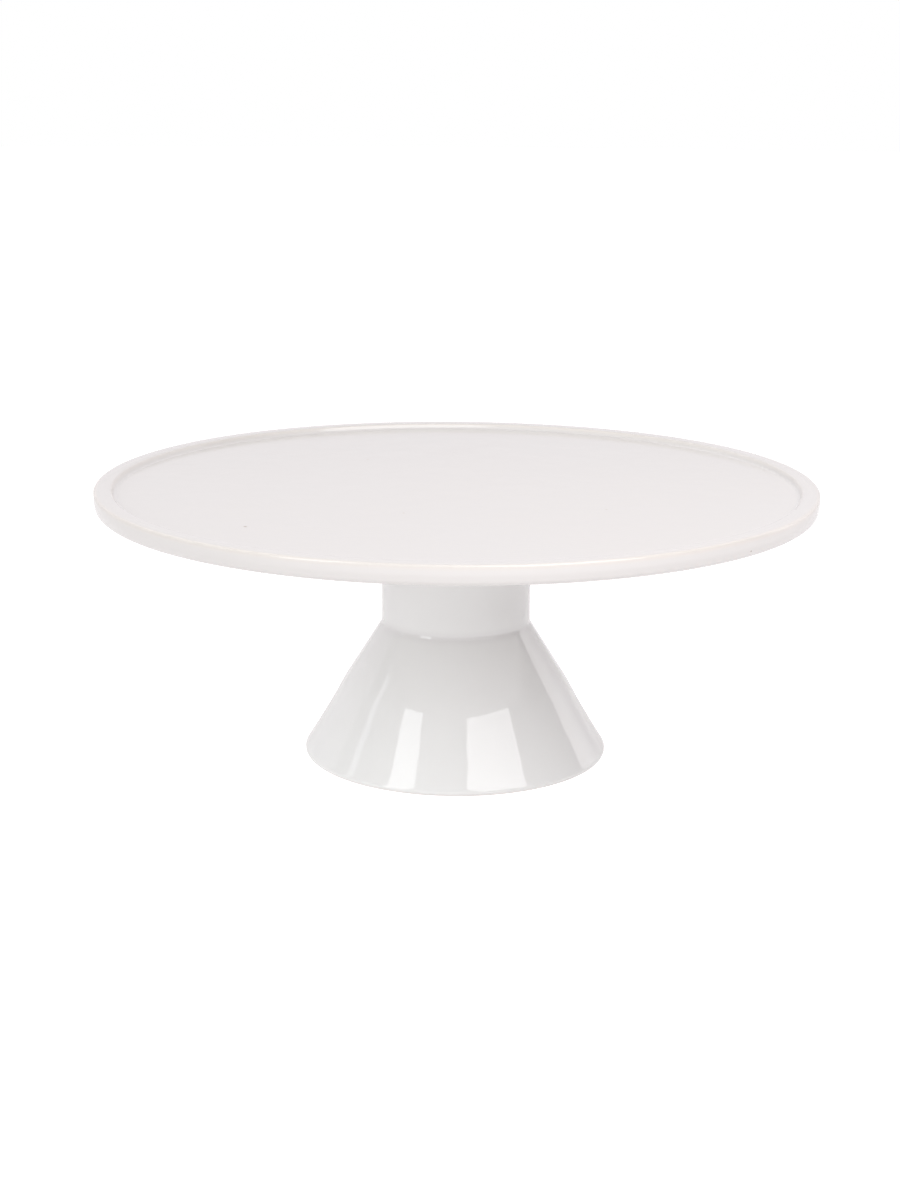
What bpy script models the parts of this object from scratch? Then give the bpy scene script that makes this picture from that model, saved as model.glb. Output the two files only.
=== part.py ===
"""Cake stand of glazed white stoneware, in metres, +Z up, origin on the axis at table level.

A round plate with a low raised rim stands on a hollow foot, whose straight neck opens into a cone.
The foot's lip sits in a turned seat under the plate, bedded in a ring of luting slip.
Every piece is turned about Z, so each one is an outline of (radius, height) points that goes down its
outer side and is carried round the axis by a Screw modifier.
"""

import math

import bpy

# Driving sizes: overall.
PLATE_DIAMETER = 0.300
STAND_HEIGHT = 0.117
FOOT_DIAMETER = 0.1284
NECK_DIAMETER = 0.0628
BEND_HEIGHT = 0.0568

# Driving sizes: plate.
EDGE_THICKNESS = 0.0080
EDGE_TAPER = 0.0006
RIM_WIDTH = 0.0070
RIM_SLOPE_WIDTH = 0.0016
WELL_DEPTH = 0.0025
RIM_OUTER_ROUND = 0.0010
RIM_INNER_ROUND = 0.0008
WELL_ROUND = 0.0010
LOWER_EDGE_ROUND = 0.0022
HUB_EXTRA_THICKNESS = 0.0030
HUB_MARGIN = 0.0090

# Driving sizes: foot.
FOOT_WALL = 0.0060
BEND_ROUND = 0.0035
FOOT_OUTER_ROUND = 0.0016
FOOT_INNER_ROUND = 0.0015
LIP_ROUND = 0.0008

# Driving sizes: luted joint.
CLEARANCE = 0.0003
SLIP_BED = 0.0008
SLIP_FILLET = 0.0030
SEAT_DEPTH = 0.0024

# Fineness of the turned shapes.
PLATE_STEPS = 96
FOOT_STEPS = 72
ARC_STEP = math.radians(30.0)
MERGE_DISTANCE = 0.00001
SHARP_ANGLE = math.radians(35.0)

# Sizes worked out from the driving ones.
PLATE_RADIUS = PLATE_DIAMETER / 2
NECK_RADIUS = NECK_DIAMETER / 2
BORE_RADIUS = NECK_RADIUS - FOOT_WALL
FOOT_RADIUS = FOOT_DIAMETER / 2
UNDERSIDE_HEIGHT = STAND_HEIGHT - EDGE_THICKNESS - HUB_EXTRA_THICKNESS
JOINT_SPACE = SLIP_BED + 2 * CLEARANCE
SEAT_OUTER_RADIUS = NECK_RADIUS + JOINT_SPACE
SEAT_INNER_RADIUS = BORE_RADIUS - JOINT_SPACE
LIP_HEIGHT = UNDERSIDE_HEIGHT + SEAT_DEPTH - JOINT_SPACE
HUB_RADIUS = SEAT_OUTER_RADIUS + SLIP_FILLET + HUB_MARGIN


def arc(centre, radius, start, end):
    """Points on a circle from one angle to another, both ends included."""
    steps = max(1, math.ceil(abs(end - start) / ARC_STEP))
    angles = [start + (end - start) * i / steps for i in range(steps + 1)]
    return [(centre[0] + radius * math.cos(a), centre[1] + radius * math.sin(a)) for a in angles]


def rounded(before, corner, after, radius):
    """The corner of an outline replaced by an arc that is tangent to both of its sides."""
    ax, az = before[0] - corner[0], before[1] - corner[1]
    bx, bz = after[0] - corner[0], after[1] - corner[1]
    a_length = math.hypot(ax, az)
    b_length = math.hypot(bx, bz)
    ax, az, bx, bz = ax / a_length, az / a_length, bx / b_length, bz / b_length
    half = math.acos(max(-1.0, min(1.0, ax * bx + az * bz))) / 2
    middle = math.hypot(ax + bx, az + bz)
    reach = radius / math.sin(half) / middle
    centre = (corner[0] + (ax + bx) * reach, corner[1] + (az + bz) * reach)
    setback = radius / math.tan(half)
    first = (corner[0] + ax * setback, corner[1] + az * setback)
    last = (corner[0] + bx * setback, corner[1] + bz * setback)
    start = math.atan2(first[1] - centre[1], first[0] - centre[0])
    end = math.atan2(last[1] - centre[1], last[0] - centre[0])
    turn = (end - start + math.pi) % (2 * math.pi) - math.pi
    return arc(centre, radius, start, start + turn)


def outline(corners):
    """An outline from (radius, height, rounding) corners. The first and last corners stay sharp."""
    points = [corners[0][:2]]
    for before, corner, after in zip(corners, corners[1:], corners[2:]):
        if corner[2] > 0:
            points += rounded(before[:2], corner[:2], after[:2], corner[2])
        else:
            points.append(corner[:2])
    return points + [corners[-1][:2]]


def plate_outline():
    """Down the plate's section from the middle of its well, round the rim, to the middle of its underside.

    Heights are above the hub face, which is the flat of the underside that the foot meets. The edge is widest
    at its belly, half way down, and tapers from there to its lower round.
    """
    top = STAND_HEIGHT - UNDERSIDE_HEIGHT
    well = top - WELL_DEPTH
    edge_bottom = top - EDGE_THICKNESS
    belly = top - EDGE_THICKNESS / 2
    rim_inside = PLATE_RADIUS - RIM_WIDTH
    return outline(
        [
            (0.0, well, 0.0),
            (rim_inside - RIM_SLOPE_WIDTH, well, WELL_ROUND),
            (rim_inside, top, RIM_INNER_ROUND),
            (PLATE_RADIUS, top, RIM_OUTER_ROUND),
            (PLATE_RADIUS, belly, 0.0),
            (PLATE_RADIUS - EDGE_TAPER, edge_bottom, LOWER_EDGE_ROUND),
            (HUB_RADIUS, 0.0, 0.0),
            (SEAT_OUTER_RADIUS, 0.0, 0.0),
            (SEAT_OUTER_RADIUS, SEAT_DEPTH, 0.0),
            (SEAT_INNER_RADIUS, SEAT_DEPTH, 0.0),
            (SEAT_INNER_RADIUS, 0.0, 0.0),
            (0.0, 0.0, 0.0),
        ]
    )


def cone_angle():
    """The cone's half angle: its side leaves the neck at the bend and just touches the foot's outer round."""
    across = FOOT_RADIUS - FOOT_OUTER_ROUND - NECK_RADIUS
    down = BEND_HEIGHT - FOOT_OUTER_ROUND
    return math.atan2(across, down) + math.asin(FOOT_OUTER_ROUND / math.hypot(across, down))


def pedestal_outline():
    """Round the foot's wall: down its outside, across the foot ring and up its bore. The ends meet at the lip.

    The cone's wall is FOOT_WALL thick, measured square to its side.
    """
    angle = cone_angle()
    outer_toe = NECK_RADIUS + BEND_HEIGHT * math.tan(angle)
    inner_toe = outer_toe - FOOT_WALL / math.cos(angle)
    inner_bend = (inner_toe - BORE_RADIUS) / math.tan(angle)
    lip_middle = (NECK_RADIUS + BORE_RADIUS) / 2
    return outline(
        [
            (lip_middle, LIP_HEIGHT, 0.0),
            (NECK_RADIUS, LIP_HEIGHT, LIP_ROUND),
            (NECK_RADIUS, BEND_HEIGHT, BEND_ROUND),
            (outer_toe, 0.0, FOOT_OUTER_ROUND),
            (inner_toe, 0.0, FOOT_INNER_ROUND),
            (BORE_RADIUS, inner_bend, BEND_ROUND + FOOT_WALL),
            (BORE_RADIUS, LIP_HEIGHT, LIP_ROUND),
            (lip_middle, LIP_HEIGHT, 0.0),
        ]
    )[:-1]


def slip_outline():
    """Round the slip's section: a bed over the neck's lip, with a hollow fillet outside the neck and one inside.

    Heights are above the hub face. A clearance parts the slip from the plate and from the neck.
    """
    bed_top = SEAT_DEPTH - CLEARANCE
    bed_bottom = LIP_HEIGHT - UNDERSIDE_HEIGHT + CLEARANCE
    neck_side = NECK_RADIUS + CLEARANCE
    bore_side = BORE_RADIUS - CLEARANCE
    seat_side = SEAT_OUTER_RADIUS - CLEARANCE
    hub_side = SEAT_INNER_RADIUS + CLEARANCE
    brim = -CLEARANCE
    feather = -2 * CLEARANCE
    tail = feather - SLIP_FILLET
    outside = arc((seat_side + SLIP_FILLET, tail), SLIP_FILLET, math.pi / 2, math.pi)
    inside = arc((hub_side - SLIP_FILLET, tail), SLIP_FILLET, 0.0, math.pi / 2)
    return [
        (seat_side, bed_top),
        (seat_side, brim),
        (seat_side + SLIP_FILLET, brim),
        *outside,
        (neck_side, tail),
        (neck_side, bed_bottom),
        (bore_side, bed_bottom),
        (bore_side, tail),
        *inside,
        (hub_side - SLIP_FILLET, brim),
        (hub_side, brim),
        (hub_side, bed_top),
    ]


def turned(name, points, ring, steps):
    """An object turned about Z from an outline. A ring's outline closes on itself; any other ends on the axis."""
    edges = [(i, i + 1) for i in range(len(points) - 1)]
    if ring:
        edges.append((len(points) - 1, 0))
    section = bpy.data.meshes.new(name + "_section")
    section.from_pydata([(r, 0.0, z) for r, z in points], edges, [])
    piece = bpy.data.objects.new(name, section)
    bpy.context.scene.collection.objects.link(piece)
    screw = piece.modifiers.new("turn", "SCREW")
    screw.axis = "Z"
    screw.angle = 2 * math.pi
    screw.steps = steps
    screw.render_steps = steps
    screw.use_merge_vertices = True
    screw.merge_threshold = MERGE_DISTANCE
    graph = bpy.context.evaluated_depsgraph_get()
    body = bpy.data.meshes.new_from_object(piece.evaluated_get(graph))
    body.name = name
    piece.modifiers.clear()
    piece.data = body
    bpy.data.meshes.remove(section)
    bpy.context.scene.collection.objects.unlink(piece)
    body.shade_smooth()
    body.set_sharp_from_angle(angle=SHARP_ANGLE)
    return piece


def finish(name, colour, roughness):
    """A Principled material for fired clay, which is never metallic."""
    material = bpy.data.materials.new(name)
    material.use_nodes = True
    shader = material.node_tree.nodes["Principled BSDF"]
    shader.inputs["Base Color"].default_value = (*colour, 1.0)
    shader.inputs["Roughness"].default_value = roughness
    shader.inputs["Metallic"].default_value = 0.0
    return material


def plate():
    piece = turned("plate", plate_outline(), False, PLATE_STEPS)
    piece.location.z = UNDERSIDE_HEIGHT
    piece.data.materials.append(finish("white_glaze", (0.80, 0.77, 0.77), 0.30))
    return piece


def pedestal():
    piece = turned("pedestal", pedestal_outline(), True, FOOT_STEPS)
    piece.data.materials.append(finish("cool_white_glaze", (0.76, 0.75, 0.74), 0.10))
    return piece


def slip_joint():
    piece = turned("slip_joint", slip_outline(), True, FOOT_STEPS)
    piece.location.z = UNDERSIDE_HEIGHT
    piece.data.materials.append(finish("glazed_slip", (0.76, 0.74, 0.73), 0.35))
    return piece


def main():
    for old in list(bpy.data.objects):
        bpy.data.objects.remove(old)
    stand = bpy.data.collections.new("cake_stand")
    bpy.context.scene.collection.children.link(stand)
    axis = bpy.data.objects.new("stand_axis", None)
    stand.objects.link(axis)
    for piece in (plate(), pedestal(), slip_joint()):
        stand.objects.link(piece)
        piece.parent = axis


main()
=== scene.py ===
import math

import bpy
import numpy as np
from mathutils import Euler, Matrix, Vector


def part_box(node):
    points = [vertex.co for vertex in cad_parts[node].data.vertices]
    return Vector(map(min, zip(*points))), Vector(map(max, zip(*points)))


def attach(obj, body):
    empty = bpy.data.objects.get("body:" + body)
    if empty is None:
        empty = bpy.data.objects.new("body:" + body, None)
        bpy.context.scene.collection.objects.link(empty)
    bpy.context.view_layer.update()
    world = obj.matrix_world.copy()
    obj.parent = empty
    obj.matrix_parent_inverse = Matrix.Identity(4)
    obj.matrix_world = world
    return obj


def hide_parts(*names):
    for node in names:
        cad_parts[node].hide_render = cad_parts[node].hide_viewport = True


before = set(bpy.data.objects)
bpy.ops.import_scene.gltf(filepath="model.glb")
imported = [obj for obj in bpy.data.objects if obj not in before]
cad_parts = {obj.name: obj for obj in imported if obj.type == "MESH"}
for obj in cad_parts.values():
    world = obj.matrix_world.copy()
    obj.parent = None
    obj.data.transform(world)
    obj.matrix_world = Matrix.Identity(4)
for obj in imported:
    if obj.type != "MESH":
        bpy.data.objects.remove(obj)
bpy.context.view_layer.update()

# Looks of the cake stand, in metres, +Z up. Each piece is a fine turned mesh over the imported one.

plate_low, plate_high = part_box("plate")
foot_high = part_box("pedestal")[1]
slip_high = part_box("slip_joint")[1]

# ---------------------------------------------------------------- sizes

MM = 0.001
PLATE_RADIUS = plate_high.x
RIM_TOP = plate_high.z
HUB_FACE = plate_low.z
FOOT_RADIUS = foot_high.x
LIP_TOP = foot_high.z

# The plate.
EDGE_THICKNESS = 8.0 * MM
EDGE_TAPER = 0.6 * MM
RIM_WIDTH = 7.0 * MM
RIM_SLOPE_WIDTH = 1.6 * MM
RIM_CROWN = 0.15 * MM
WELL_DEPTH = 2.4 * MM
HUB_MARGIN = 12.0 * MM
WELL_ROUND = 1.9 * MM
RIM_INNER_ROUND = 1.6 * MM
RIM_CROWN_ROUND = 3.0 * MM
RIM_OUTER_ROUND = 1.0 * MM
BELLY_ROUND = 8.0 * MM
LOWER_EDGE_ROUND = 2.2 * MM
HUB_ROUND = 20.0 * MM
SEAT_ROUND = 0.3 * MM

# The foot.
NECK_RADIUS = 31.4 * MM
BEND_HEIGHT = 56.8 * MM
FOOT_WALL = 6.0 * MM
BORE_RADIUS = NECK_RADIUS - FOOT_WALL
LIP_ROUND = 0.8 * MM
BEND_ROUND = 4.0 * MM
FOOT_OUTER_ROUND = 1.6 * MM
FOOT_INNER_ROUND = 1.5 * MM
BORE_ROUND = 9.5 * MM

# The luted joint.
SEAT_SPACE = 1.4 * MM
SEAT_DEPTH = 2.4 * MM
JOINT_GAP = 0.3 * MM
SLIP_TOP_ROUND = 0.2 * MM
SLIP_TIP_ROUND = 0.12 * MM
SLIP_HOLLOW_ROUND = 2.4 * MM
SLIP_HOLLOW_ACROSS = 0.25
SLIP_HOLLOW_DOWN = 0.35

# Fineness of the meshes.
PLATE_SIDES = 384
FOOT_SIDES = 320
SLIP_SIDES = 240
ARC_POINTS = 9
LONGEST_STEP = 2.5 * MM
FINE_STEP = 0.9 * MM

# Kiln movement of the plate, as (waves round the rim, start) and as (share of the radius, waves, start).
PLATE_SAG = 0.25 * MM
PLATE_SINKS = ((2, 0.6), (3, -1.1))
PLATE_SHRINKS = ((0.0004, 2, -0.4), (0.0003, 5, 2.0))

# The thrown side of the cone: at these heights in mm, its slope turns away from straight by these degrees.
SIDE_HEIGHTS = (0.0, 3.0, 6.5, 12.0, 17.5, 22.5, 26.0, 29.0, 30.5, 32.0, 36.0, 44.0, 52.0, 56.0)
SIDE_TURNS = (0.0, 1.0, 1.3, -1.0, -0.3, -2.5, -2.8, -2.6, -0.8, 0.9, 1.0, 0.8, 0.6, 0.0)
# Levels the side is added up at, and how many of them the turns are blurred over.
SIDE_LEVELS = 400
SIDE_BLUR = 17
# Drifts of those heights round the foot, as (mm, waves, start), and slow waves of the side, as (mm, waves,
# height in mm over which a wave winds on by one radian, start).
SIDE_DRIFTS = ((0.5, 1, 1.0), (0.35, 3, 0.0))
SIDE_WAVES = ((0.010, 6, 4.1, 0.4), (0.008, 9, -3.3, 2.1), (0.007, 13, 5.7, -1.0))
# Height in mm at which the stray begins, and over how many mm it fades in there and at the bend.
SIDE_END = 1.2
SIDE_FADE = 3.0


# ---------------------------------------------------------------- outlines


def round_corner(before, corner, after, radius, count=ARC_POINTS):
    """Points along the circle that touches both sides of a corner, evenly spaced by angle."""
    a, b = before - corner, after - corner
    a, b = a / np.linalg.norm(a), b / np.linalg.norm(b)
    half = math.acos(float(np.clip(a @ b, -1, 1))) / 2
    middle = (a + b) / np.linalg.norm(a + b)
    centre = corner + middle * radius / math.sin(half)
    setback = radius / math.tan(half)
    first, last = corner + a * setback - centre, corner + b * setback - centre
    start = math.atan2(first[1], first[0])
    turn = (math.atan2(last[1], last[0]) - start + math.pi) % (2 * math.pi) - math.pi
    angles = start + turn * np.linspace(0, 1, count)
    return centre + radius * np.stack([np.cos(angles), np.sin(angles)], axis=1)


def outline(corners, step=LONGEST_STEP):
    """A (radius, height) outline from (radius, height, rounding) corners, with long straights cut short."""
    corners = np.array(corners, float)
    spots, rounds = corners[:, :2], corners[:, 2]
    parts = [spots[:1]]
    for i in range(1, len(spots) - 1):
        if rounds[i] > 0:
            parts.append(round_corner(spots[i - 1], spots[i], spots[i + 1], rounds[i]))
        else:
            parts.append(spots[i : i + 1])
    points = np.concatenate([*parts, spots[-1:]])
    lengths = np.linalg.norm(np.diff(points, axis=0), axis=1)
    cuts = np.maximum(1, np.ceil(lengths / step).astype(int))
    runs = [np.linspace(p, q, n, endpoint=False) for p, q, n in zip(points[:-1], points[1:], cuts)]
    return np.concatenate([*runs, points[-1:]])


def cone_angle():
    """Half angle of the foot's cone, whose side leaves the bend and touches the foot's outer round."""
    across = FOOT_RADIUS - FOOT_OUTER_ROUND - NECK_RADIUS
    down = BEND_HEIGHT - FOOT_OUTER_ROUND
    return math.atan2(across, down) + math.asin(FOOT_OUTER_ROUND / math.hypot(across, down))


def plate_section():
    """From the middle of the well out over the rim, down the edge and along the underside to the middle."""
    well = RIM_TOP - WELL_DEPTH
    shoulder = RIM_TOP - RIM_CROWN
    rim_inside = PLATE_RADIUS - RIM_WIDTH
    seat_outer = NECK_RADIUS + SEAT_SPACE
    seat_inner = BORE_RADIUS - SEAT_SPACE
    return outline(
        [
            (0.0, well, 0.0),
            (rim_inside - RIM_SLOPE_WIDTH, well, WELL_ROUND),
            (rim_inside, shoulder, RIM_INNER_ROUND),
            ((rim_inside + PLATE_RADIUS) / 2, RIM_TOP, RIM_CROWN_ROUND),
            (PLATE_RADIUS, shoulder, RIM_OUTER_ROUND),
            (PLATE_RADIUS, RIM_TOP - EDGE_THICKNESS / 2, BELLY_ROUND),
            (PLATE_RADIUS - EDGE_TAPER, RIM_TOP - EDGE_THICKNESS, LOWER_EDGE_ROUND),
            (seat_outer + HUB_MARGIN, HUB_FACE, HUB_ROUND),
            (seat_outer, HUB_FACE, SEAT_ROUND),
            (seat_outer, HUB_FACE + SEAT_DEPTH, SEAT_ROUND),
            (seat_inner, HUB_FACE + SEAT_DEPTH, SEAT_ROUND),
            (seat_inner, HUB_FACE, SEAT_ROUND),
            (0.0, HUB_FACE, 0.0),
        ]
    )


def foot_section():
    """Round the foot's wall: down the outside from the lip, over the foot ring and up the bore."""
    angle = cone_angle()
    outer_toe = NECK_RADIUS + BEND_HEIGHT * math.tan(angle)
    inner_toe = outer_toe - FOOT_WALL / math.cos(angle)
    inner_bend = (inner_toe - BORE_RADIUS) / math.tan(angle)
    lip_middle = (NECK_RADIUS + BORE_RADIUS) / 2
    return outline(
        [
            (lip_middle, LIP_TOP, 0.0),
            (NECK_RADIUS, LIP_TOP, LIP_ROUND),
            (NECK_RADIUS, BEND_HEIGHT, BEND_ROUND),
            (outer_toe, 0.0, FOOT_OUTER_ROUND),
            (inner_toe, 0.0, FOOT_INNER_ROUND),
            (BORE_RADIUS, inner_bend, BORE_ROUND),
            (BORE_RADIUS, LIP_TOP, LIP_ROUND),
            (lip_middle, LIP_TOP, 0.0),
        ],
        FINE_STEP,
    )[:-1]


def slip_section():
    """Round the slip: a bed over the lip, with a hollow fillet outside the neck and one inside the bore."""
    bed_top = HUB_FACE + SEAT_DEPTH - JOINT_GAP
    bed_bottom = LIP_TOP + JOINT_GAP
    bed_middle = (NECK_RADIUS + BORE_RADIUS) / 2
    brim = HUB_FACE - JOINT_GAP
    outer, inner = NECK_RADIUS + JOINT_GAP, BORE_RADIUS - JOINT_GAP
    seat = NECK_RADIUS + SEAT_SPACE - JOINT_GAP
    hub = BORE_RADIUS - SEAT_SPACE + JOINT_GAP
    reach = slip_high.x - seat
    tail = brim - JOINT_GAP - reach
    hollow = brim - SLIP_HOLLOW_DOWN * reach
    return outline(
        [
            (bed_middle, bed_top, 0.0),
            (seat, bed_top, SLIP_TOP_ROUND),
            (seat, brim, 0.0),
            (seat + reach, brim, SLIP_TIP_ROUND),
            (seat + reach, brim - JOINT_GAP, 0.0),
            (seat + SLIP_HOLLOW_ACROSS * reach, hollow, SLIP_HOLLOW_ROUND),
            (outer + JOINT_GAP / 2, tail, SLIP_TIP_ROUND),
            (outer, tail, 0.0),
            (outer, bed_bottom, SLIP_TOP_ROUND),
            (inner, bed_bottom, SLIP_TOP_ROUND),
            (inner, tail, 0.0),
            (inner - JOINT_GAP / 2, tail, SLIP_TIP_ROUND),
            (hub - SLIP_HOLLOW_ACROSS * reach, hollow, SLIP_HOLLOW_ROUND),
            (hub - reach, brim - JOINT_GAP, 0.0),
            (hub - reach, brim, SLIP_TIP_ROUND),
            (hub, brim, 0.0),
            (hub, bed_top, SLIP_TOP_ROUND),
            (bed_middle, bed_top, 0.0),
        ]
    )[:-1]


# ---------------------------------------------------------------- surfaces


def turned(name, section, sides, wobble=None, ring=True):
    """Point (s, t) of the surface is the section's point s carried round Z by the angle t.

    wobble takes the grids of radius, height and angle and gives back the first two slightly changed. A ring's
    section closes on itself. Any other section begins and ends on the axis, where one point closes each pole.
    """
    body = section if ring else section[1:-1]
    rows = len(body)
    turn = np.tile(np.arange(sides) * 2 * math.pi / sides, (rows, 1))
    radius = np.repeat(body[:, :1], sides, axis=1)
    height = np.repeat(body[:, 1:], sides, axis=1)
    if wobble:
        radius, height = wobble(radius, height, turn)
    points = np.stack([radius * np.cos(turn), radius * np.sin(turn), height], axis=2).reshape(-1, 3)
    here = np.arange(rows * sides).reshape(rows, sides)
    beside = np.roll(here, -1, axis=1)
    if ring:
        here = np.concatenate([here, here[:1]])
        beside = np.concatenate([beside, beside[:1]])
    quads = np.stack([here[:-1], here[1:], beside[1:], beside[:-1]], axis=2).reshape(-1, 4)
    faces = quads.tolist()
    if not ring:
        top, bottom = np.full(sides, len(points)), np.full(sides, len(points) + 1)
        faces += np.stack([top, here[0], beside[0]], axis=1).tolist()
        faces += np.stack([bottom, beside[-1], here[-1]], axis=1).tolist()
        poles = np.array([[0, 0, height[0].mean()], [0, 0, height[-1].mean()]])
        points = np.concatenate([points, poles])
    mesh = bpy.data.meshes.new(name)
    mesh.from_pydata(points.tolist(), [], faces)
    mesh.shade_smooth()
    piece = bpy.data.objects.new(name, mesh)
    bpy.context.scene.collection.objects.link(piece)
    return piece


def plate_wobble(radius, height, turn):
    """Kiln movement: the plate sinks and shrinks by waves that run round it, each 1 less a cosine.

    Sinking grows as the square of the distance from the axis. Points only ever move inwards and down.
    """
    out = (radius / PLATE_RADIUS) ** 2
    sink = sum(1 - np.cos(waves * turn + start) for waves, start in PLATE_SINKS)
    shrink = sum(share * (1 - np.cos(waves * turn + start)) for share, waves, start in PLATE_SHRINKS)
    return radius * (1 - shrink), height - PLATE_SAG / 2 * out * sink


def side_stray():
    """Levels up the cone, and how far its side strays at each from straight, in mm square to the slope.

    The stray is the side's turns, blurred a little and added up along the slope from the bend down. A share
    of its total is then taken off, growing towards the table, so that no stray is left there.
    """
    level = np.linspace(SIDE_HEIGHTS[0], SIDE_HEIGHTS[-1], SIDE_LEVELS)
    turns = np.radians(np.interp(level, SIDE_HEIGHTS, SIDE_TURNS))
    blur = np.hanning(SIDE_BLUR) / np.hanning(SIDE_BLUR).sum()
    turns = np.convolve(np.pad(turns, SIDE_BLUR // 2, mode="edge"), blur, mode="valid")
    step = (level[1] - level[0]) / math.cos(cone_angle())
    total = np.cumsum(turns[::-1])[::-1] * step
    return level, total - total[0] * (1 - level / level[-1])


def foot_wobble(radius, height, turn):
    """The cone's outside is moved square to its slope by its stray, and by slow waves that wind round it.

    The stray is read at heights that drift a little round the foot. Both fade out at the bend, at the table
    and through the wall, so that the bore stays straight.
    """
    slope = cone_angle()
    z = height / MM
    drift = sum(size * np.sin(waves * turn + start) for size, waves, start in SIDE_DRIFTS)
    stray = np.interp(z + drift, *side_stray())
    for size, waves, rise, start in SIDE_WAVES:
        stray += size * np.sin(waves * turn + z / rise + start)
    inward = (radius - NECK_RADIUS) - (BEND_HEIGHT - height) * math.tan(slope)
    outside = np.clip(1 + inward / (FOOT_WALL / 2), 0, 1)
    above_table = np.clip((z - SIDE_END) / SIDE_FADE, 0, 1)
    below_bend = np.clip((BEND_HEIGHT / MM + 1 - z) / SIDE_FADE, 0, 1)
    shift = stray * outside * above_table * below_bend * MM
    return radius + shift * math.cos(slope), height + shift * math.sin(slope)


# ---------------------------------------------------------------- nodes


class Nodes:
    """Short calls that add nodes to one tree and join them. A value may be a number, a colour or a socket."""

    def __init__(self, tree, space="Object"):
        self.tree = tree
        tree.nodes.clear()
        self.place = self.add("ShaderNodeTexCoord").outputs[space]
        self.parts = self.add("ShaderNodeSeparateXYZ", Vector=self.place).outputs

    def plug(self, socket, value):
        """A link from another node's socket, or else a value of the socket's own."""
        if isinstance(value, bpy.types.NodeSocket):
            self.tree.links.new(value, socket)
        else:
            socket.default_value = value

    def add(self, kind, **inputs):
        """A node with some inputs given, each named as its socket is, with _ for a space."""
        node = self.tree.nodes.new(kind)
        for name, value in inputs.items():
            self.plug(node.inputs[name.replace("_", " ")], value)
        return node

    def math(self, operation, *values):
        node = self.add("ShaderNodeMath")
        node.operation = operation
        for socket, value in zip(node.inputs, values):
            self.plug(socket, value)
        return node.outputs[0]

    def product(self, first, second):
        return self.math("MULTIPLY", first, second)

    def ramp(self, value, low, high, start=0.0, end=1.0):
        """A smooth step from start to end as the value goes from low to high."""
        node = self.add("ShaderNodeMapRange", Value=value, From_Min=low, From_Max=high)
        self.plug(node.inputs["To Min"], start)
        self.plug(node.inputs["To Max"], end)
        node.interpolation_type = "SMOOTHSTEP"
        return node.outputs["Result"]

    def noise(self, scale, detail, roughness=0.5):
        node = self.add("ShaderNodeTexNoise", Vector=self.place, Scale=scale, Detail=detail)
        self.plug(node.inputs["Roughness"], roughness)
        return node.outputs["Fac"]

    def mix(self, share, first, second):
        """The first colour where share is 0 and the second where it is 1."""
        node = self.add("ShaderNodeMix")
        node.data_type = "RGBA"
        for socket, value in zip((node.inputs[0], node.inputs[6], node.inputs[7]), (share, first, second)):
            self.plug(socket, value)
        return node.outputs[2]

    def radius(self):
        """Distance from the stand's axis."""
        x, y = self.parts["X"], self.parts["Y"]
        return self.math("SQRT", self.math("ADD", self.product(x, x), self.product(y, y)))

    def distance_from(self, value, middle):
        return self.math("ABSOLUTE", self.math("SUBTRACT", value, middle))

    def bump(self, height, strength, distance, normal=None):
        node = self.add("ShaderNodeBump", Height=height, Strength=strength, Distance=distance)
        if normal:
            self.plug(node.inputs["Normal"], normal)
        return node.outputs["Normal"]

    def camera_rays(self):
        return self.add("ShaderNodeLightPath").outputs["Is Camera Ray"]

    def finish(self, kind, surface):
        """The tree's output, joined to its surface."""
        self.add(kind, Surface=surface)


# ---------------------------------------------------------------- glaze

# The plate and the foot are one glaze. Their whites differ as painted light and shade: the plate's whites are
# set darker and warmer, and the foot's and slip's lighter and cooler, to even out how differently each is
# lit.
PLATE_WHITE_PAINTED_DARKER = (0.632, 0.608, 0.592, 1.0)
PLATE_POOLED_PAINTED_DARKER = (0.625, 0.612, 0.604, 1.0)
# Painted light: a lighter white for the plate's upright edge, which is lit less than the top.
PLATE_EDGE_PAINTED_LIGHT = (0.668, 0.645, 0.634, 1.0)
LOWER_WHITE_PAINTED_LIGHTER = (0.808, 0.807, 0.800, 1.0)
# Painted shade: the foot's second white, darker, goes into the bend; it also gives the foot's and slip's slow
# drift.
LOWER_DRIFT_AND_BEND_SHADE = (0.760, 0.752, 0.750, 1.0)
THIN_GLAZE = (0.715, 0.655, 0.600, 1.0)
BARE_CLAY = (0.60, 0.52, 0.43, 1.0)
DARK_CLAY = (0.42, 0.35, 0.28, 1.0)
SPECK = (0.30, 0.25, 0.21, 1.0)

# Roughness of each surface.
SATIN = 0.13
FULL_GLOSS = 0.035
SPONGED = 0.30
PIT_GLOSS = 0.5
CLAY_GLOSS = 0.85
GLAZE_IOR = 1.5

RING_SPACING = 3.2 * MM
RING_DEPTH = 0.08 * MM
PEEL_DEPTH = 0.25 * MM
SWELL_DEPTH = 0.3 * MM
SAND_DEPTH = 0.3 * MM


def pinholes(nodes, spacing, keep, size):
    """1 inside a sparse scatter of tiny round pits: cells of the given spacing, of which a few keep a pit."""
    cells = nodes.add("ShaderNodeTexVoronoi", Vector=nodes.place, Scale=1 / spacing)
    chance = nodes.add("ShaderNodeSeparateColor", Color=cells.outputs["Color"])
    chosen = nodes.math("GREATER_THAN", chance.outputs[0], 1 - keep)
    wide = nodes.product(chance.outputs[1], size / spacing)
    inside = nodes.math("LESS_THAN", cells.outputs["Distance"], wide)
    return nodes.product(chosen, inside)


def throwing_rings(nodes):
    """Faint rings round the axis, as a sine of the radius that comes and goes in patches."""
    wave = nodes.math("SINE", nodes.product(nodes.radius(), 2 * math.pi / RING_SPACING))
    return nodes.product(wave, nodes.ramp(nodes.noise(22.0, 2.0), 0.4, 0.7))


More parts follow.
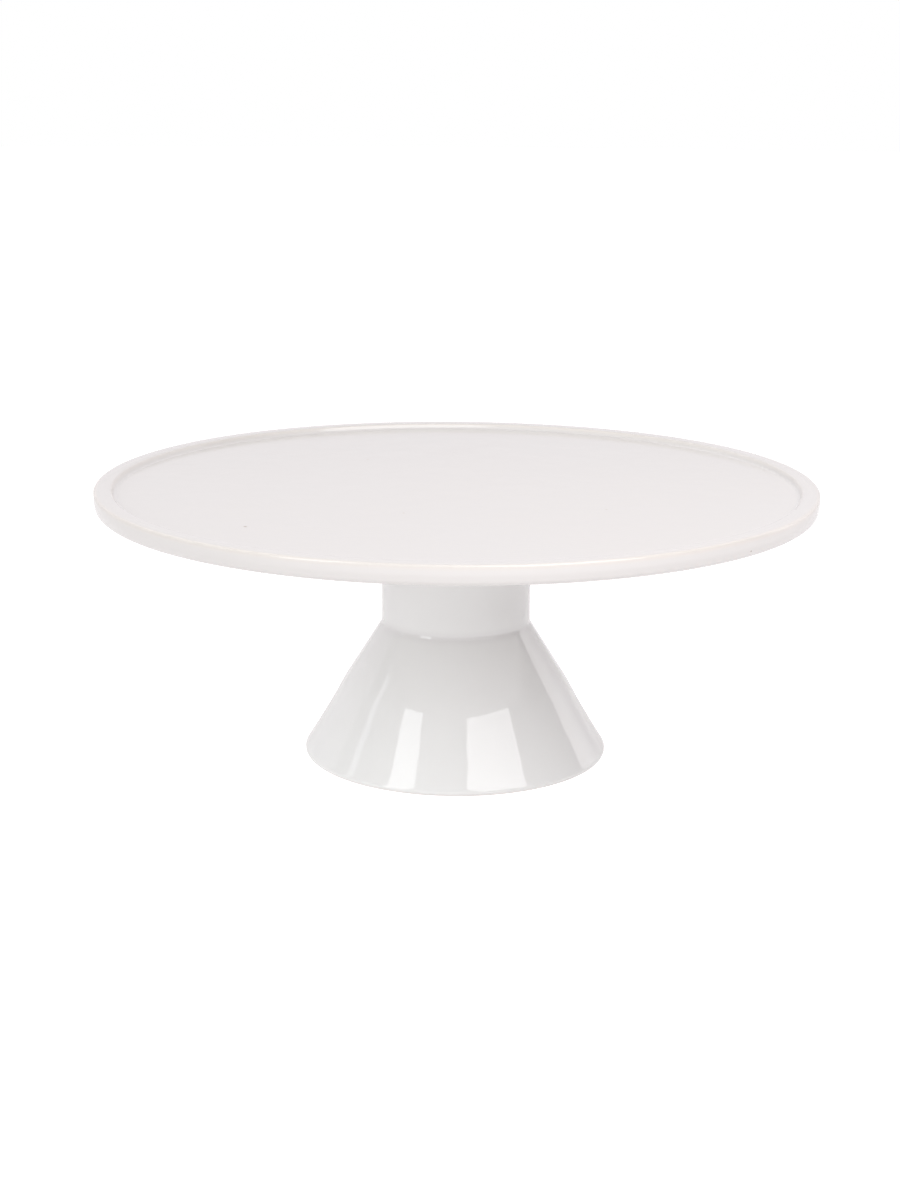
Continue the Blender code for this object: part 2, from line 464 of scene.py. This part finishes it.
def glaze(name, white, drift_pool_and_shade_colour, gloss, thin=None, pool_and_shade_mask=None, edge=None, bare=None, specks=None, rings=0.0):
    """White glaze over clay, with a second colour for its slow drift and for its hollows.

    The masks say, from 0 to 1, where the glaze breaks over a crest, where the second colour goes into a
    hollow, where the plate's edge gets painted light that makes it lighter, and where the glaze was wiped
    off. In a hollow the second colour is glaze gathered in the plate's well and painted shade in the foot's
    bend. The colour drifts slowly, the skin has a faint orange peel, and a few small pits show the clay.
    """
    material = bpy.data.materials.new(name)
    material.use_nodes = True
    nodes = Nodes(material.node_tree)
    drift = nodes.ramp(nodes.noise(14.0, 3.0), 0.35, 0.65)
    colour = nodes.mix(nodes.product(drift, 0.25), white, drift_pool_and_shade_colour)
    # The second colour and the edge white carry painted shade at the foot's bend and painted light on the
    # plate's edge.
    for mask, tint in ((pool_and_shade_mask, drift_pool_and_shade_colour), (edge, PLATE_EDGE_PAINTED_LIGHT), (thin, THIN_GLAZE)):
        if mask:
            colour = nodes.mix(mask(nodes), colour, tint)
    roughness = nodes.ramp(nodes.noise(45.0, 4.0, 0.6), 0.3, 0.7, gloss * 0.85, gloss * 1.25)
    normal = nodes.bump(nodes.noise(420.0, 2.0), 0.03, PEEL_DEPTH)
    normal = nodes.bump(nodes.noise(110.0, 1.0, 0.4), 0.08, SWELL_DEPTH, normal)
    if rings:
        normal = nodes.bump(throwing_rings(nodes), rings, RING_DEPTH, normal)
    if specks:
        pits = pinholes(nodes, *specks)
        colour = nodes.mix(pits, colour, SPECK)
        roughness = nodes.math("MAXIMUM", roughness, nodes.product(pits, PIT_GLOSS))
    if bare:
        share = bare(nodes)
        grain = nodes.noise(2600.0, 3.0, 0.7)
        clay = nodes.mix(nodes.product(grain, 0.5), BARE_CLAY, DARK_CLAY)
        colour = nodes.mix(share, colour, clay)
        roughness = nodes.math("MAXIMUM", roughness, nodes.product(share, CLAY_GLOSS))
        normal = nodes.bump(nodes.product(grain, share), 0.6, SAND_DEPTH, normal)
    shader = nodes.add("ShaderNodeBsdfPrincipled", Base_Color=colour, Roughness=roughness, Normal=normal)
    shader.inputs["Metallic"].default_value = 0.0
    shader.inputs["IOR"].default_value = GLAZE_IOR
    nodes.finish("ShaderNodeOutputMaterial", shader.outputs["BSDF"])
    return material


def rim_crests(nodes):
    """Narrow bands along the plate's outer top edge and its inner rim edge, where the glaze runs thin."""
    radius = nodes.radius()
    out = nodes.ramp(radius, PLATE_RADIUS - 2.0 * MM, PLATE_RADIUS - 0.4 * MM)
    high = nodes.ramp(nodes.parts["Z"], RIM_TOP - 3.0 * MM, RIM_TOP - 0.8 * MM)
    outer_crest = nodes.product(nodes.product(out, high), 0.50)
    away = nodes.distance_from(radius, PLATE_RADIUS - RIM_WIDTH - 0.4 * MM)
    inner_crest = nodes.ramp(away, 0.1 * MM, 1.0 * MM, 0.35, 0.0)
    patchy = nodes.ramp(nodes.noise(9.0, 1.0), 0.35, 0.65, 0.75, 1.0)
    return nodes.product(nodes.math("MAXIMUM", outer_crest, inner_crest), patchy)


def well_corner(nodes):
    """The hollow at the foot of the rim's slope."""
    away = nodes.distance_from(nodes.radius(), PLATE_RADIUS - RIM_WIDTH - RIM_SLOPE_WIDTH)
    return nodes.ramp(away, 0.0, 2.0 * MM, 0.25, 0.0)


def plate_edge_painted_light(nodes):
    """The plate's upright edge, painted lighter than the top as painted light, since the side is lit less."""
    out = nodes.ramp(nodes.radius(), PLATE_RADIUS - 2.5 * MM, PLATE_RADIUS - 0.8 * MM)
    low = nodes.ramp(nodes.parts["Z"], RIM_TOP - 1.8 * MM, RIM_TOP - 0.6 * MM, 1.0, 0.0)
    return nodes.product(out, low)


def bend_painted_shade(nodes):
    """Painted shade: a darker band in the hollow where the neck meets the cone."""
    away = nodes.distance_from(nodes.parts["Z"], BEND_HEIGHT)
    return nodes.ramp(away, 0.0, 3.5 * MM, 0.9, 0.0)


def foot_edge(nodes):
    """The lowest millimetres of the foot, where the glaze was drawn thin."""
    return nodes.ramp(nodes.parts["Z"], 0.3 * MM, 1.8 * MM, 0.25, 0.0)


def foot_ring(nodes):
    """The face that the stand rests on, wiped bare, with a slightly ragged glaze line."""
    ragged = nodes.product(nodes.noise(160.0, 3.0), 0.3 * MM)
    height = nodes.math("ADD", nodes.parts["Z"], ragged)
    return nodes.ramp(height, 0.28 * MM, 0.36 * MM, 1.0, 0.0)


# ---------------------------------------------------------------- pieces

# Pinholes, as (spacing of the cells, share of them that keep a pit, radius of the widest pit).
PLATE_PINHOLES = (10 * MM, 0.06, 0.8 * MM)
FOOT_PINHOLES = (11 * MM, 0.02, 0.25 * MM)

plate = turned("plate_body", plate_section(), PLATE_SIDES, plate_wobble, ring=False)
plate.data.materials.append(
    glaze(
        "plate_glaze",
        PLATE_WHITE_PAINTED_DARKER,
        PLATE_POOLED_PAINTED_DARKER,
        SATIN,
        thin=rim_crests,
        pool_and_shade_mask=well_corner,
        # Painted light on the plate's edge.
        edge=plate_edge_painted_light,
        specks=PLATE_PINHOLES,
        rings=0.03,
    )
)
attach(plate, "root")
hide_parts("plate")

foot = turned("foot_body", foot_section(), FOOT_SIDES, foot_wobble)
foot.data.materials.append(
    glaze(
        "foot_glaze",
        LOWER_WHITE_PAINTED_LIGHTER,
        LOWER_DRIFT_AND_BEND_SHADE,
        FULL_GLOSS,
        thin=foot_edge,
        # Painted shade at the bend.
        pool_and_shade_mask=bend_painted_shade,
        bare=foot_ring,
        specks=FOOT_PINHOLES,
    )
)
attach(foot, "root")
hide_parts("pedestal")

slip = turned("slip_fillet", slip_section(), SLIP_SIDES)
slip.data.materials.append(glaze("slip_glaze", LOWER_WHITE_PAINTED_LIGHTER, LOWER_DRIFT_AND_BEND_SHADE, SPONGED))
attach(slip, "root")
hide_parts("slip_joint")


# ---------------------------------------------------------------- studio

TABLE_RADIUS = 6.0
TABLE_SIDES = 96
TABLE_COLOUR = (0.45, 0.45, 0.45, 1.0)
TABLE_LIGHT = (1.0, 0.965, 0.975, 1.0)
TABLE_GLOW = 0.58
TABLE_SEEN = 0.95

# Windows, as (name, azimuth, half width, low edge, high edge, distance, radiance, colour), angles in degrees.
WINDOWS = (
    ("left_window", -45.5, 8.8, 1, 56, 2.6, 3.7, (0.96, 0.985, 1.0)),
    ("right_window", 37.5, 19.3, 22, 80, 1.3, 3.75, (0.985, 0.975, 0.985)),
    ("far_left_window", -90, 2.6, 5, 48, 2.2, 1.35, (0.90, 0.95, 1.0)),
)

BACK_LEFT = (1.00, 0.97, 1.00, 1.0)
BACK_RIGHT = (0.90, 0.87, 0.89, 1.0)
SCREEN = (1.70, 1.65, 1.68, 1.0)
FRONT_LEFT = (0.50, 0.505, 0.485, 1.0)
FRONT_RIGHT = (0.03, 0.028, 0.027, 1.0)
CEILING = (0.42, 0.41, 0.41, 1.0)
SEEN_WHITE = (1.0, 1.0, 1.0, 1.0)
BACKDROP_SKEW = 0.065

# The camera's angles are in degrees, and its lens and sensor in mm.
CAMERA_PLACE = (0.0053, -0.8645, 0.2894)
CAMERA_DOWN = 14.53
CAMERA_LEFT = 0.52
CAMERA_ROLL = 0.35
CAMERA_LENS = 63.18
CAMERA_SENSOR = 36.0


def table():
    """A round pale table that looks evenly white, and lights the stand softly from below."""
    turn = np.linspace(0, 2 * math.pi, TABLE_SIDES, endpoint=False)
    points = TABLE_RADIUS * np.stack([np.cos(turn), np.sin(turn), np.zeros(TABLE_SIDES)], axis=1)
    mesh = bpy.data.meshes.new("table")
    mesh.from_pydata(points.tolist(), [], [list(range(TABLE_SIDES))])
    piece = bpy.data.objects.new("table", mesh)
    bpy.context.scene.collection.objects.link(piece)
    material = bpy.data.materials.new("table_white")
    material.use_nodes = True
    nodes = Nodes(material.node_tree)
    glow = nodes.ramp(nodes.camera_rays(), 0.0, 1.0, TABLE_GLOW, TABLE_SEEN)
    shader = nodes.add("ShaderNodeBsdfPrincipled", Base_Color=TABLE_COLOUR, Emission_Color=TABLE_LIGHT)
    shader.inputs["Roughness"].default_value = 1.0
    shader.inputs["Specular IOR Level"].default_value = 0.0
    nodes.plug(shader.inputs["Emission Strength"], glow)
    nodes.finish("ShaderNodeOutputMaterial", shader.outputs["BSDF"])
    mesh.materials.append(material)


def window(name, azimuth, half_width, low, high, distance, radiance, colour):
    """A tall soft window, seen from the stand between two elevations, facing the stand."""
    middle = math.radians((low + high) / 2)
    across = math.radians(azimuth)
    data = bpy.data.lights.new(name, "AREA")
    data.shape = "RECTANGLE"
    data.size = 2 * distance * math.tan(math.radians(half_width))
    data.size_y = 2 * distance * math.tan(math.radians((high - low) / 2))
    data.energy = radiance * math.pi * data.size * data.size_y
    data.color = colour
    lamp = bpy.data.objects.new(name, data)
    lamp.location = (
        distance * math.cos(middle) * math.sin(across),
        -distance * math.cos(middle) * math.cos(across),
        distance * math.sin(middle),
    )
    lamp.rotation_euler = (math.pi / 2 - middle, 0.0, across)
    lamp.visible_camera = False
    bpy.context.scene.collection.objects.link(lamp)


def room():
    """Light from all round: a white backdrop with a brighter screen at its right, a dim room and a ceiling.

    X says how far to the right a direction points, Y how far behind and Z how high. The backdrop begins at a
    share behind that is greater on the right, by the skew.
    """
    world = bpy.data.worlds.new("studio")
    world.use_nodes = True
    bpy.context.scene.world = world
    nodes = Nodes(world.node_tree, "Generated")
    across, behind, high = nodes.parts["X"], nodes.parts["Y"], nodes.parts["Z"]
    front = nodes.mix(nodes.ramp(across, -0.05, 0.55), FRONT_LEFT, FRONT_RIGHT)
    back = nodes.mix(nodes.ramp(across, -0.5, 0.9), BACK_LEFT, BACK_RIGHT)
    back = nodes.mix(nodes.ramp(across, 0.62, 0.84), back, SCREEN)
    past_edge = nodes.math("MULTIPLY_ADD", across, -BACKDROP_SKEW, behind)
    walls = nodes.mix(nodes.ramp(past_edge, 0.335, 0.36), front, back)
    colour = nodes.mix(nodes.ramp(high, 0.55, 0.85), walls, CEILING)
    colour = nodes.mix(nodes.camera_rays(), colour, SEEN_WHITE)
    background = nodes.add("ShaderNodeBackground", Color=colour)
    nodes.finish("ShaderNodeOutputWorld", background.outputs["Background"])


def camera():
    """The stand seen from a little above, from the front."""
    data = bpy.data.cameras.new("camera")
    data.lens = CAMERA_LENS
    data.sensor_width = CAMERA_SENSOR
    piece = bpy.data.objects.new("camera", data)
    piece.location = CAMERA_PLACE
    tilt = Euler((math.radians(90 - CAMERA_DOWN), 0.0, math.radians(CAMERA_LEFT)))
    roll = Matrix.Rotation(math.radians(CAMERA_ROLL), 3, "Z")
    piece.rotation_euler = (tilt.to_matrix() @ roll).to_euler()
    bpy.context.scene.collection.objects.link(piece)
    bpy.context.scene.camera = piece


table()
for values in WINDOWS:
    window(*values)
room()
camera()
bpy.context.scene.view_settings.view_transform = "Standard"
